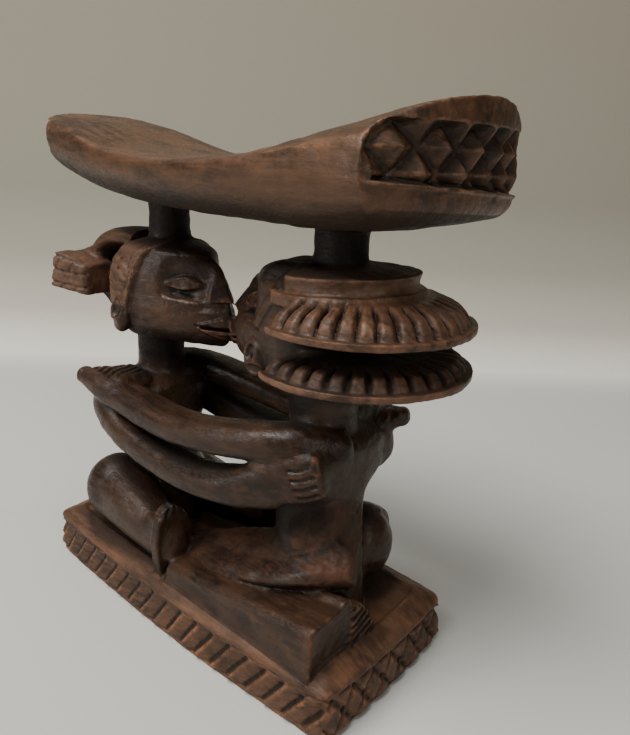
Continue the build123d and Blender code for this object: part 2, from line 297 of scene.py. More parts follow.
# ---------------- pillow ----------------
# Stations along X, and at each the lowest line, the shoulder, the rise of the seat over it,
# the half width and how far the underside bellies.
PILLOW_X = (-76.0, -54.0, -26.0, 2.0, 30.0, 56.0, 72.0, 84.0)
PILLOW_BOTTOM = (148.2, 143.8, 139.8, 137.8, 137.0, 136.6, 138.6, 141.0)
PILLOW_SHOULDER = (156.0, 154.6, 150.2, 148.2, 148.9, 150.4, 149.4, 147.6)
PILLOW_CROWN = (8.0, 5.0, 2.0, 1.8, 3.2, 8.2, 13.4, 17.6)
PILLOW_HALF = (21.5, 25.5, 27.8, 28.6, 28.8, 28.8, 28.8, 28.6)
PILLOW_BELLY = (1.5, 3.2, 3.6, 3.0, 2.4, 2.0, 1.6, 1.0)
DIAMOND_TOP, DIAMOND_WIDE, DIAMOND_TALL = 158.2, 10.8, 10.4
DIAMOND_DEEP = 3.6
END_INSET = 0.8              # how far the end faces stand back from the pillow's full length


def pillow_ends(points):
    """Distance past the two bowed end faces; positive is outside."""
    x, y = points[:, 0], points[:, 1]
    right_end = PILLOW_HIGH[0] - np.where(y < 3, 0.0118, 0.0070) * (y - 3) ** 2
    left_end = PILLOW_LOW[0] + 0.0085 * y ** 2
    return x - right_end, left_end - x


def diamonds(y, z, lower, top, reach):
    """Rows of small pyramids between two heights; reach is the distance to the pillow's side."""
    first = (y / DIAMOND_WIDE + (z - top) / DIAMOND_TALL - 0.04) % 1.0
    second = (y / DIAMOND_WIDE - (z - top) / DIAMOND_TALL - 0.04) % 1.0
    nearest = np.minimum(np.minimum(first, 1 - first), np.minimum(second, 1 - second))
    in_band = ramp(z, lower - 0.2, lower + 0.3) * (1 - ramp(z, top - 0.3, top + 0.2))
    in_band = in_band * np.clip((reach - 0.1) / 3.0, 0, 1)
    return DIAMOND_DEEP * (1.0 - np.minimum(nearest / 0.48, 1.0)) * in_band


def head_pillow(points):
    """A saddle with blunt arched ends, a band of pyramids on each and a rounded underside."""
    x, y, z = points.T
    half = curve(x, PILLOW_X, PILLOW_HALF)
    squareness = 2.4 + 1.2 * ramp(-x, 20, 60) + 0.5 * ramp(x, 30, 70)
    across = np.minimum(np.abs(y) / half, 0.999)
    arch = (1.0 - across ** squareness) ** (1.0 / squareness)
    tilt = 0.045 * y * ramp(x, 40, 78)
    shoulder = curve(x, PILLOW_X, PILLOW_SHOULDER) + tilt
    top = shoulder + curve(x, PILLOW_X, PILLOW_CROWN) * arch
    bottom = curve(x, PILLOW_X, PILLOW_BOTTOM) - curve(x, PILLOW_X, PILLOW_BELLY) * (1 - across ** 2)
    side_lean = 2.4 * ramp(shoulder - z, 1.0, 14.0)
    body = smooth_max(z - top, np.abs(y) - half + side_lean, 2.0)
    body = smooth_max(body, bottom - z - 0.8, 8.0)
    right, left = pillow_ends(points)
    to_side = half - np.abs(y)
    right_band = (right, 146.4 - 0.055 * (y + 28), DIAMOND_TOP)
    left_band = (left, 150.4, DIAMOND_TOP + 1.5)
    for end, lower, band_top in (right_band, left_band):
        ledge = 0.9 * hill(z - lower + 0.5, 0.9) * ramp(to_side, 0.3, 5.0)
        undercut = 0.10 * np.maximum(lower - 1.4 - z, 0.0) ** 2
        face = end + diamonds(y, z, lower, band_top, to_side) - ledge + undercut + END_INSET
        body = smooth_max(body, face, 0.9)
    return body


# ---------------- posts, necks, torsos ----------------
FIGURE_X = 39.0                               # of both trunks and necks, to the right and left
LEFT_POST_X, RIGHT_POST_X = -32.0, 42.6
NECK_HEIGHTS = (68, 80, 88, 100)
LEFT_SHOULDER_TOP, RIGHT_SHOULDER_TOP = 79.0, 80.5


def column(points, x, stations, wide, deep, squareness=None):
    """An upright of oval section; wide is its half size along X and deep along Y."""
    z = points[:, 2]
    u, v = points[:, 0] - x, points[:, 1]
    a, b = curve(z, stations, wide), curve(z, stations, deep)
    p = curve(z, stations, squareness) if squareness else 2.0
    scaled = np.maximum((np.abs(u / a) ** p + np.abs(v / b) ** p) ** (1.0 / p), 1e-2)
    body = np.hypot(u, v) * (1 - 1 / scaled)
    body = np.where(scaled < 0.1, -np.minimum(a, b), body)
    return np.maximum(body, np.maximum(stations[0] - z, z - stations[-1]))


def left_post(points):
    return column(points, LEFT_POST_X, (114, 124, 134, 146), (9.2, 7.2, 6.7, 7.6), (9.0, 7.2, 6.7, 7.6))


def right_post(points):
    return column(points, RIGHT_POST_X, (114, 125, 133, 146), (9.2, 7.6, 7.4, 8.6), (9.2, 7.6, 7.4, 8.6))


def left_neck(points):
    wide, deep = (9.6, 8.4, 8.3, 9.0), (10.0, 8.4, 8.3, 9.0)
    return column(points, -FIGURE_X, NECK_HEIGHTS, wide, deep)


def right_neck(points):
    wide, deep = (11.5, 10.2, 10.2, 10.8), (12.0, 10.2, 10.2, 10.8)
    return column(points, FIGURE_X, NECK_HEIGHTS, wide, deep)


def torso(points, x, top):
    """A slim trunk that spreads into a broad, flat-backed pair of shoulders."""
    heights = (12, 26, 40, 52, 60, 67, top - 6, top - 3, top)
    wide = (14.8, 14.6, 13.6, 12.8, 12.4, 12.0, 11.0, 8.0, 4.0)
    deep = (15.0, 15.2, 14.0, 13.6, 15.0, 16.6, 15.0, 10.0, 5.0)
    squareness = (2.0, 2.0, 2.0, 2.1, 2.5, 2.8, 2.6, 2.2, 2.0)
    trunk = column(points, x, heights, wide, deep, squareness)
    shoulders = block(points, (x + np.sign(x) * 3.4, 0, top - 13.5), (9.0, 17.4, 9.0), 6.5)
    return smooth_min(trunk, shoulders, 5.0)


def left_torso(points):
    return torso(points, -FIGURE_X, LEFT_SHOULDER_TOP)


def right_torso(points):
    """The trunk that turns its back, with a low spine between the shoulders."""
    spine = hill(points[:, 1] - 5.0, 1.3) * ramp(points[:, 0], FIGURE_X + 4, FIGURE_X + 8)
    trunk = torso(points, FIGURE_X, RIGHT_SHOULDER_TOP)
    return trunk - 0.5 * spine * (1 - ramp(points[:, 2], 50, 56))


# ---------------- heads ----------------
HEAD_Z = 105.8                                # height that head coordinates count from
LEFT_HEAD_X, RIGHT_HEAD_X = -27.6, 28.2
# Half sizes of the skull up the head: out to the face, to the back and to each side.
SKULL_Z = (-20, -15, -11, -5, 1, 7, 12, 16, 19)
SKULL_FRONT = (20.0, 24.4, 26.4, 26.6, 25.0, 22.2, 18.4, 12.6, 2.0)
SKULL_BACK = (11.0, 16.0, 19.0, 22.0, 23.0, 22.5, 20.4, 15.5, 6.0)
SKULL_SIDE = (10.0, 13.5, 15.8, 17.0, 17.3, 16.8, 14.8, 11.2, 4.0)
SKULL_WEDGE = (1.25, 1.25, 1.4, 1.5, 1.4, 1.45, 1.6, 1.9, 2.0)    # below 2 the face comes to a keel
SKULL_TOP, SKULL_UNDERSIDE = 18.4, -15.3
WIDEST_X = -8.0
EYE_X, EYE_Z, EYE_HALF = 12.8, 4.6, 5.7       # middle of the eye and half its length
MOUTH_X = 17.8                                # where the corner of the mouth lies
LEFT_EAR, RIGHT_EAR = (-9.6, 17.0, -7.6), (2.8, 14.3, -9.4)


def skull(x, y, z):
    """A long wedge-shaped face on a round back of the head, with a flat underside."""
    front = curve(z, SKULL_Z, SKULL_FRONT) - WIDEST_X
    back = curve(z, SKULL_Z, SKULL_BACK) + WIDEST_X
    side = curve(z, SKULL_Z, SKULL_SIDE)
    u = x - WIDEST_X
    p = np.where(u > 0, curve(z, SKULL_Z, SKULL_WEDGE), 2.3)
    lengthwise = np.where(u > 0, front, back)
    scaled = np.maximum((np.abs(u / lengthwise) ** p + (y / side) ** p) ** (1 / p), 1e-3)
    wall = np.where(scaled < 0.1, -side, 0.8 * np.hypot(u, y) * (1 - 1 / scaled))
    return smooth_max(smooth_max(wall, z - SKULL_TOP, 5.0), SKULL_UNDERSIDE - z, 2.5)


def head(points, centre_x, facing, ear_place, brow_back=0.0):
    """A face in head coordinates: x out of the face, z up; both halves alike.

    Two slanting planes make the nose, and brow_back pushes the forehead back.
    """
    x = (points[:, 0] - centre_x) * facing
    y, z = np.abs(points[:, 1]), points[:, 2] - HEAD_Z
    x = x + brow_back * ramp(z, -1.0, 9.0)
    q = np.stack([x, y, z], 1).astype(np.float32)
    body = skull(x, y, z) + eye_socket(x, z)
    side_of_nose = 0.90 * (y - 5.4 + 0.46 * (x - 18.5)) + 0.30 * (z - 1.0)
    front_of_nose = 0.88 * (x - 27.0) + 0.47 * (z - 1.2)
    nose = smooth_max(side_of_nose, smooth_max(front_of_nose, 15.0 - x, 2.0), 2.4)
    nose = smooth_max(nose, 0.5 - z - 0.08 * (x - 20), 0.5)
    body = smooth_min(body, smooth_max(nose, z - 13.0, 4.0), 1.5)
    body = body - eye(x, z) - lips(x, z)
    body = body + 0.8 * hill(z + 1.8, 2.2) * ramp(x, 17.5, 20) * ramp(y, 0.6, 1.6)
    return smooth_min(body, ear(q, ear_place), 0.8)


def eye_socket(x, z):
    """A hollow round the eye, soft above and crisp along the cheek."""
    low_edge = 0.6 - 0.10 * (x - 6.5)
    across = ramp(x, 5.4, 9.6) * (1 - ramp(x, 18.6, 21.6))
    upward = ramp(z - low_edge, -0.2, 1.8) * (1 - ramp(z, 6.0, 14.0))
    return 2.6 * across * upward


def eye(x, z):
    """The closed lid as an almond with a thin raised rim above and below."""
    along = (x - EYE_X) / EYE_HALF
    room = np.maximum(1 - along ** 2, 0.0)
    above, below = EYE_Z + 2.6 * room, EYE_Z - 1.5 * room
    inside = ramp(above + 0.5 - z, 0.0, 1.0) * ramp(z - below + 0.5, 0.0, 1.0) * ramp(room, 0.0, 0.15)
    lid = inside * (1.2 + 0.6 * room)
    rim = np.minimum(np.abs(z - above), np.abs(z - below))
    return lid + 0.75 * np.maximum(0, 1 - rim / 0.6) * ramp(1.04 - np.abs(along), 0.0, 0.12)


def lips(x, z):
    """Two full lips low on the face, parted by a cut that falls towards the front."""
    run = np.clip((x - MOUTH_X) / 9.0, 0.0, 1.0)
    gap = -7.6 - 1.2 * run
    above, below = -7.5 + 3.0 * run, -7.7 - 5.4 * run ** 0.8
    upper = ramp(z - gap, 0.0, 0.8) * (1 - ramp(z - above, -0.5, 0.15))
    lower = ramp(gap - z, 0.0, 0.8) * (1 - ramp(below - z, -0.5, 0.15))
    rim = 0.35 * hill(z - above + 0.2, 0.7)
    full = 1.25 * (upper + lower) * ramp(run, 0.0, 0.3)
    return (x > MOUTH_X) * (full + rim - 0.9 * hill(z - gap, 0.7))


def ear(q, place):
    """A flat lumpy curl with a hollow in it, at this place of the head."""
    shell = egg(q, place, (4.4, 3.2, 6.0))
    forward, up = q[:, 0] - place[0], q[:, 2] - place[2]
    hollow = np.hypot((forward - 0.6) / 1.9, (up - 2.2) / 2.4)
    curl = np.hypot((forward + 1.0) / 2.4, (up + 2.4) / 1.4)
    carved = 1.8 * (1 - ramp(hollow, 0.5, 1.2)) + 0.9 * (1 - ramp(curl, 0.5, 1.2))
    return shell + carved * ramp(q[:, 1], place[1] - 1.0, place[1] + 1.0)


def left_head(points):
    return head(points, LEFT_HEAD_X, 1.0, LEFT_EAR)


def right_head(points):
    """The turned-away head, square under its crown; a strip of hair runs down behind its temple."""
    x, y, z = points.T
    up, across = z - HEAD_Z, np.abs(y)
    face = head(points, RIGHT_HEAD_X, -1.0, RIGHT_EAR, brow_back=3.0)
    dome = block(points, (36.0, 0, 112.6), (12.0, 16.6, 11.6), 7.0)
    strip = np.abs(x - 29.5 - 0.73 * (up - 4.0)) - 2.0
    band = 0.6 * (1 - ramp(strip, -0.5, 0.3)) * ramp(up, -1, 1) * ramp(across, 8, 11)
    return smooth_min(face, dome, 3.0) - band


# ---------------- left coiffure ----------------
LOBE = ((-76.4, 102.4), (-60.0, 100.3), (-60.0, 111.8), (-74.0, 116.2))    # X and Z round one lobe
LOBE_END = 22.3                               # half width over both lobes at their outer corners
HAIRLINE_Z = (-16, -9.3, -3.6, 6.7, 13.1, 18)
HAIRLINE_X = (-6.6, -5.8, -4.9, -1.7, -0.4, 3)


def left_hair_cap(points):
    """A crusty cap over the back of the skull, ending in a thin raised hairline."""
    x, y, z = points.T
    up = z - HEAD_Z
    shell = skull(x - LEFT_HEAD_X, np.abs(y), up) - 0.9
    behind = x - LEFT_HEAD_X - curve(up, HAIRLINE_Z, HAIRLINE_X)
    ridge = 0.6 * hill(behind + 0.5, 0.6) + 0.4 * hill(behind + 2.6, 0.6)
    strands = 0.25 * np.cos(2 * np.pi * (up + 0.5 * x) / 3.4) * ramp(-behind, 2.4, 3.6)
    return smooth_max(shell - ridge * ramp(up, -6, -1) + strands * (1 - ramp(up, 8, 12)), behind, 0.5)


def left_hair_arch(points):
    """A flat band that springs from the top of the head to the cross piece, hollow below."""
    path = [(-38, 0, 121.6, 9.5, 3.4), (-48, 0, 122.2, 9.0, 3.2), (-57, 0, 121.6, 8.6, 3.2),
            (-64, 0, 119.0, 8.2, 3.2), (-69, 0, 115.0, 8.0, 3.4)]
    strap = block(points, (-69.5, 0, 108.5), (5.0, 8.0, 8.0), 2.5)
    web = [(-66, 0, 107.0, 6.0, 4.5), (-54, 0, 108.0, 6.0, 4.5), (-46, 0, 108.0, 7.0, 4.5)]
    joined = smooth_min(limb(points, path, 2.8), strap, 1.5)
    return smooth_min(joined, limb(points, web, 2.6), 1.0)


def left_hair_lobe(points, side):
    """A side lobe of the cross: a leaning block with plaits carved across its end."""
    x, y, z = points.T
    end_face = (side * y - LOBE_END + 0.34 * (x + 76.0)) * 0.947
    body = smooth_max(polygon(x, z, LOBE) + 0.3, end_face, 2.2)
    body = smooth_max(body, 4.0 - side * y, 1.0)
    tier = (z - 103.3 - 0.10 * (-60 - x)) / 4.8
    slant = np.where(np.floor(tier) % 2 == 0, 1.0, -1.0)
    plait = np.abs(((x + slant * (tier % 1.0) * 3.0) / 5.8) % 1.0 - 0.5)
    between = np.abs((tier + 0.5) % 1.0 - 0.5)
    cuts = notch(between, 0.55, 0.14) + notch(plait, 0.45, 0.13)
    return body + cuts * ramp(end_face, -2.6, -1.4) * (1 - ramp(np.abs(z - 108.0), 6.2, 7.6))


def left_hair_near_lobe(points):
    return left_hair_lobe(points, -1)


def left_hair_far_lobe(points):
    return left_hair_lobe(points, 1)


def left_hair_keel(points):
    """The wedge that joins the lobes to the back of the neck."""
    x, y, z = points.T
    profile = polygon(x, z, [(-70.5, 101.5), (-46, 102.5), (-44, 89.5), (-50, 88.6)])
    return smooth_max(profile, np.abs(y) - 6.0, 1.5)


# ---------------- right coiffure ----------------
FAN_X = 51.0             # middle of both fans
FAN_RIM = 30.0           # their radius
RIBS = 21
CROWN_X, CROWN_Z, CROWN_RADIUS = 45.5, 117.4, 19.4
CROWN_FRONT = 38.0       # the crown ends here, behind the brow


def fan(points, rim_z, rise, sweep):
    """A fan of ribs that ends in a thin rim; it spans plus and minus sweep degrees."""
    x, y, z = points[:, 0] - FAN_X, points[:, 1], points[:, 2]
    radius = np.hypot(x, y)
    angle = np.degrees(np.arctan2(y, x))
    slope = (z - (rim_z + 2.4) + rise / 9.0 * (radius - FAN_RIM + 1.6) * 0.82) * 0.78
    bulge = 1.2 * hill(radius - FAN_RIM + 4.5, 5.0)
    rib = np.abs(np.cos(np.pi * angle * RIBS / (2 * sweep)))
    between = (1 - rib) ** 2.2 * ramp(radius, 15, 22) * (1 - ramp(radius, FAN_RIM - 1.9, FAN_RIM - 0.9))
    nail = 0.5 * hill(radius - FAN_RIM + 1.7, 0.7)
    top = slope - bulge + 2.1 * between + nail
    lip = np.maximum(radius - FAN_RIM, z - rim_z - 2.1)
    upper = smooth_min(smooth_max(top, radius - FAN_RIM + 0.9, 1.6), lip, 0.3)
    under = rim_z + 0.5 * ramp(FAN_RIM - radius, 0, 6) - z
    cut = radius * np.sin(np.radians(np.minimum(np.abs(angle) - sweep, 80)))
    body = smooth_max(smooth_max(upper, under, 0.8), z - rim_z - rise, 1.0)
    return smooth_max(body, cut, 1.2)


def right_hair_upper_fan(points):
    return fan(points, rim_z=109.1, rise=8.6, sweep=108.0)


def right_hair_lower_fan(points):
    return fan(points, rim_z=96.8, rise=5.8, sweep=114.0)


def right_hair_crown(points):
    """The flat crown with a plain band round it."""
    x, y, z = points.T
    tilt = 0.05 * (x - CROWN_X)
    axis = np.hypot(x - CROWN_X, y)
    height = z - CROWN_Z - tilt
    wall = axis - CROWN_RADIUS - 0.5 * hill(height - 5.6, 1.0) + 0.5 * hill(height - 2.6, 2.4)
    ledge = np.maximum(axis - 21.0, height - 0.7)
    lid = height - 6.4 + 1.2 * ramp(axis, 12, 19)
    crown = smooth_max(smooth_max(wall, lid, 0.8), CROWN_FRONT - x, 1.5)
    return smooth_max(smooth_min(crown, ledge, 0.5), -height - 3.0, 1.0)


# ---------------- arms and hands ----------------
def over_arm(points):
    """The right figure's near arm, which lies over the other figure's shoulder."""
    return limb(points, [
        (46.0, -5.0, 73.0, 6.5, 6.0), (41.0, -11.8, 74.2, 6.6, 6.0), (31.0, -17.2, 73.8, 6.6, 5.4),
        (13.0, -20.8, 71.2, 6.6, 5.0), (-5.0, -21.4, 69.8, 6.8, 4.7), (-21.0, -20.8, 70.4, 7.0, 4.5),
        (-35.0, -20.6, 71.8, 6.8, 4.2),
    ], 2.7)


def over_hand(points):
    """A leaf-shaped hand with the finger ends notched along its upper edge."""
    x, y, z = points.T
    body = limb(points, [
        (-33.0, -20.6, 71.8, 6.8, 4.4), (-42.0, -21.4, 73.4, 6.8, 4.4), (-50.0, -24.2, 75.2, 3.4, 3.0),
    ], 2.6)
    palm = block(points, (-40.0, -15.4, 73.4), (9.0, 7.5, 4.2), 3.4, -10.0)
    body = smooth_min(body, palm, 3.5)
    fingers = np.abs(((x + 0.5 * y) / 3.1) % 1.0 - 0.5)
    return body + notch(fingers, 0.7, 0.26) * ramp(z, 75.0, 76.6) * ramp(-x, 33, 36) * ramp(y, -24, -22)


def under_arm(points, elbow):
    """The lower arm of a pair, from a round elbow of the given radius."""
    arm = limb(points, [
        (-41.0, -13.5, 68.5, 7.0, 6.4), (-40.5, -19.6, 65.0, 6.6, 5.8), (-28.0, -22.6, 60.2, 6.0, 5.0),
        (-9.0, -22.8, 57.0, 6.2, 4.8), (9.0, -22.8, 56.6, 6.2, 4.9), (25.0, -20.8, 58.8, 5.8, 6.0),
        (36.0, -18.2, 63.2, 4.6, 7.4),
    ], 2.7)
    return smooth_min(arm, egg(points, (-41.5, -17.3, 66.6), (elbow, elbow, elbow)), 2.0)


FINGER_CUTS = (      # start and end of each cut between the fingers, in X and Z
    ((43.7, 69.6), (48.6, 71.4)), ((44.5, 66.8), (50.4, 69.1)),
    ((45.6, 64.2), (51.2, 66.4)), ((46.3, 61.6), (51.4, 63.6)),
)


def under_hand(points):
    """A hand laid flat on the other figure's back, its fingers parted by curved cuts."""
    x, y, z = points.T
    body = limb(points, [
        (35.0, -18.2, 63.2, 4.6, 7.4), (42.0, -16.8, 66.0, 3.8, 7.5), (49.6, -14.6, 68.2, 2.8, 6.4),
    ], 2.6)
    cuts = 0.0
    for start, end in FINGER_CUTS:
        bend = 0.5 * np.sin(np.pi * np.clip((x - start[0]) / (end[0] - start[0]), 0, 1))
        cuts = np.maximum(cuts, notch(from_line(x, z + bend, start, end), 1.2, 0.75))
    return body + cuts * ramp(-y, 6, 8)


# ---------------- legs and feet ----------------
def open_hip(points, shift, semi):
    """The round seat of an open leg, moved out by shift."""
    return egg(points, (-43.4, -17.2 - shift, 31.8), semi)


def open_leg(points):
    """The left figure's near leg, which lies between the figures with its foot upright."""
    return limb(points, [
        (-43.0, -18.0, 32.0, 10.6, 11.4), (-26.0, -20.4, 29.8, 9.4, 9.8), (-13.0, -22.4, 28.2, 6.8, 8.4),
        (-6.0, -23.4, 29.6, 5.6, 9.4),
    ], 2.3)


def open_foot(points):
    """The foot on its heel: a thin upright sole with toes cut along its top edge."""
    x, y, z = points.T
    outline = [
        (-28.8, 15.0), (-19.0, 15.0), (-15.6, 31.5), (-19.0, 38.8),
        (-24.0, 43.0), (-28.8, 42.0), (-31.2, 31.0),
    ]
    flat = polygon(y, z, outline)
    body = smooth_max(flat, np.abs(x + 4.6 - 0.06 * (z - 30)) - 2.0, 1.0)
    toes = np.abs(((y - 0.5 * z) / 2.5) % 1.0 - 0.5)
    arch = 0.7 * (1 - ramp(np.hypot((y + 23.0) / 4.5, (z - 30) / 9.0), 0.3, 1.0)) * ramp(x, -4.0, -3.0)
    return body + arch + notch(toes, 1.1, 0.22) * ramp(z - 0.2 * y, 43.4, 45.6)


def folded_thigh(points):
    """The upper leg, dressed with two long planes that meet in an outer ridge."""
    x, y, z = points.T
    body = limb(points, [
        (50.0, -11.5, 36.5, 10.8, 9.8), (36.0, -13.2, 34.0, 11.0, 9.4), (20.0, -15.2, 30.0, 10.0, 8.2),
        (3.5, -17.6, 26.4, 8.0, 6.8),
    ], 2.4)
    stations = (0, 11, 24, 35, 44, 52, 62)
    ridge_y = curve(x, stations, (-20.4, -21.2, -21.8, -21.4, -19.8, -16.6, -7.0))
    ridge_z = curve(x, stations, (24.8, 27.2, 31.0, 34.2, 37.2, 39.8, 41.6))
    hacked = 0.5 * noise(points, (5.0, 30.0, 30.0), 31)
    over = -0.50 * (y - ridge_y) + 0.87 * (z - ridge_z)
    facet = -0.90 * (y - ridge_y) + 0.43 * (z - ridge_z) + hacked
    under = -0.62 * (y - ridge_y + 1.4) - 0.78 * (z - ridge_z + 3.0)
    return smooth_max(smooth_max(smooth_max(body, over, 1.2), facet, 0.5), under, 0.6)


def folded_shin(points):
    """The lower leg along the edge of the base, with a flat heel."""
    x, y, z = points.T
    t = np.clip(x / 61.5, 0.0, 1.0)
    outer = -29.4 + 0.05 * (z - BASE_TOP)
    inner = -15.5 + 4.2 * t
    top = 24.4 + 8.2 * t + 0.06 * (y + 20) + 1.2 * hill(y - inner + 2, 3.0)
    body = smooth_max(outer - y, y - inner, 1.5)
    body = smooth_max(body, z - top, 0.9)
    edge = -0.72 * (y + 27.6) + 0.69 * (z - top + 0.2)
    body = smooth_max(body, edge, 0.8)
    body = smooth_max(body, np.maximum(x - 61.7, -1.0 - x), 0.9)
    return np.maximum(body, 12.0 - z)


def folded_foot(points):
    """The turned-in foot, falling away inward, with its toes side by side."""
    x, y, z = points.T
    outline = [(-13.0, 14.0), (-13.0, 31.4), (-8.0, 31.0), (-1.2, 23.0), (-0.6, 14.0)]
    body = smooth_max(polygon(y, z, outline), np.abs(x - 56.6) - 6.2, 1.6)
    toes = np.abs(((z - 0.3 * y) / 2.7) % 1.0 - 0.5)
    return body + notch(toes, 1.1, 0.26) * ramp(x + 0.35 * y, 56, 58)


def turned(field):
    """The same limb on the other figure, half a turn round."""
    return lambda points: field(half_turn(points))


def near_elbow_arm(points):
    return under_arm(points, 8.3)


def far_elbow_arm(points):
    return under_arm(half_turn(points), 9.6)


def near_hip(points):
    return open_hip(points, 0.8, (11.8, 11.4, 12.2))


def far_hip(points):
    return open_hip(half_turn(points), -0.9, (10.6, 10.6, 12.6))


NAMED_FIELDS = (
    base_plinth, head_pillow, left_post, right_post, left_neck, right_neck, left_torso, right_torso,
    left_head, right_head, left_hair_cap, left_hair_arch, left_hair_near_lobe, left_hair_far_lobe,
    left_hair_keel, right_hair_crown, right_hair_upper_fan, right_hair_lower_fan,
)
FIELDS = {field.__name__: field for field in NAMED_FIELDS} | {
    "right_near_arm": over_arm, "left_far_arm": turned(over_arm),
    "right_near_hand": over_hand, "left_far_hand": turned(over_hand),
    "left_near_arm": near_elbow_arm, "right_far_arm": far_elbow_arm,
    "left_near_hand": under_hand, "right_far_hand": turned(under_hand),
    "left_near_hip": near_hip, "right_far_hip": far_hip,
    "left_near_leg": open_leg, "right_far_leg": turned(open_leg),
    "left_near_foot": open_foot, "right_far_foot": turned(open_foot),
    "right_near_thigh": folded_thigh, "left_far_thigh": turned(folded_thigh),
    "right_near_shin": folded_shin, "left_far_shin": turned(folded_shin),
    "right_near_foot": folded_foot, "left_far_foot": turned(folded_foot),
}


# ---------------- from fields to pieces ----------------
def boxes_touch(a, b):
    """Whether two CAD boxes lie close enough for their pieces to meet."""
    return bool((a[0] - 2 * MARGIN < b[1]).all() and (b[0] - 2 * MARGIN < a[1]).all())


BOXES = {node: box_mm(node) for node in FIELDS}
NEIGHBOURS = {
    node: [other for other in FIELDS if other != node and boxes_touch(BOXES[node], BOXES[other])]
    for node in FIELDS
}


def all_wood(node, points):
    """The melted surface of a piece with its neighbours, and how far outside its own share."""
    own = FIELDS[node](points)
    others = []
    for other in NEIGHBOURS[node]:
        low, high = BOXES[other]
        close = ((points > low - REACH) & (points < high + REACH)).all(1)
        distance = np.full(len(points), FAR)
        if close.any():
            distance[close] = FIELDS[other](points[close])
        others.append(distance)
    nearest_other = np.min(others, axis=0) if others else np.full(len(points), FAR)
    least = np.minimum(own, nearest_other)
    total = np.exp(-np.minimum((own - least) / MELT, 30.0))
    for distance in others:
        total = total + np.exp(-np.minimum((distance - least) / MELT, 30.0))
    return least - MELT * np.log(total), 0.5 * (own - nearest_other)


def piece_field(node, points):
    """A piece's share of the wood, with a sunken skirt under its neighbours that closes it."""
    wood, beyond = all_wood(node, points)
    return np.maximum(wood + SINK * ramp(beyond, 0.0, SKIRT), beyond - SKIRT)


def in_chunks(function, points, size=400000):
    """The function over many points, a part at a time to save memory."""
    parts = [function(points[i:i + size]) for i in range(0, len(points), size)]
    return np.concatenate(parts)


def mesh_points(node, voxel):
    """Vertices in millimetres and quads on the zero surface of a piece.

    The field is read once in each block, and cell by cell only in blocks near the surface.
    """
    low = BOXES[node][0] - MARGIN
    span = BOXES[node][1] + MARGIN - low
    counts = np.ceil(span / (voxel * BLOCK)).astype(int)
    size = voxel * BLOCK
    index = np.stack(np.meshgrid(*[np.arange(n) for n in counts], indexing="ij"), -1).reshape(-1, 3)
    centres = (low + (index + 0.5) * size).astype(np.float32)
    coarse = in_chunks(lambda p: piece_field(node, p), centres)
    near = np.abs(coarse) < size * 1.15 + 1.5
    volume = np.repeat(np.repeat(np.repeat(coarse.reshape(counts), BLOCK, 0), BLOCK, 1), BLOCK, 2)
    inner = np.stack(np.meshgrid(*[np.arange(BLOCK)] * 3, indexing="ij"), -1).reshape(-1, 3)
    cells = (index[near][:, None, :] * BLOCK + inner[None]).reshape(-1, 3)
    samples = (low + (cells + 0.5) * voxel).astype(np.float32)
    values = in_chunks(lambda p: piece_field(node, p), samples)
    volume[cells[:, 0], cells[:, 1], cells[:, 2]] = values
    grid = openvdb.FloatGrid(3.0)
    grid.copyFromArray(volume.astype(np.float32))
    points, quads = grid.convertToQuads(isovalue=0.0)
    return low + (points + 0.5) * voxel, quads


def tool_marks(points):
    """Height of the small wandering facets left by the adze, and of the grain."""
    wide_facets = 0.30 * np.abs(noise(points, (9.0, 5.0, 5.0), 11))
    small_facets = 0.14 * np.abs(noise(points, (4.5, 3.0, 3.0), 12))
    grain = 0.05 * noise(points, (3.0, 0.8, 0.8), 13)
    return wide_facets + small_facets - 0.2 + grain


SEAT = (48.0, -6.0, 46.0)    # where the right figure's trunk meets its folded leg
CRUSTED_HAIR = ("left_hair_cap", "left_hair_near_lobe", "left_hair_far_lobe")


def crust(node, points, edge):
    """How thick the old encrustation lies: in hollows, on hair, round the seats and on the thighs."""
    near_seat = np.minimum(
        np.linalg.norm(points - SEAT, axis=1),
        np.linalg.norm(half_turn(points) - SEAT, axis=1),
    )
    amount = 0.25 * ramp(-edge, 0.05, 0.3) + 0.75 * (1 - ramp(near_seat, 9.0, 15.0))
    if "torso" in node:
        from_middle, height = np.abs(np.abs(points[:, 0]) - FIGURE_X), points[:, 2]
        amount = amount + 0.2 * ((from_middle < 14) & (height > 72) & (height < 86))
    if "thigh" in node:
        ridge_side = np.where(points[:, 0] > 0, -points[:, 1], points[:, 1])
        amount = amount + 0.45 * (1 - ramp(ridge_side, 15.0, 19.5)) * ramp(points[:, 2], 28, 32)
    if node in CRUSTED_HAIR:
        amount = amount + 0.2
    return np.minimum(amount, 0.9)


def vertex_normals(points, quads):
    """Unit normals that point out of the wood."""
    corners = points[quads]
    face = np.cross(corners[:, 2] - corners[:, 0], corners[:, 3] - corners[:, 1])
    total = np.stack([
        sum(np.bincount(quads[:, k], weights=face[:, axis], minlength=len(points)) for k in range(4))
        for axis in range(3)
    ], 1)
    return total / np.maximum(np.linalg.norm(total, axis=1, keepdims=True), 1e-9)


def surface_shape(node, points, reach):
    """How much the surface curves at this reach in mm: plus on edges, minus in hollows."""
    here = all_wood(node, points)[0]
    around = 0.0
    for way in ((1, 1, 1), (1, -1, -1), (-1, 1, -1), (-1, -1, 1)):
        step = np.array(way, np.float32) * (reach / 3 ** 0.5)
        around = around + all_wood(node, points + step)[0]
    return (around / 4 - here) / reach


PROBE_OUT, PROBE_UP = 5.0, 8.5    # where the painted shade looks for wood, mm from the surface
OPEN_ROOM = 5.4                   # free space there that gives no painted shade at all, mm
PAINTED_SHADE_REACH = 6.0               # how far outside its CAD box a piece can cast painted shade, mm
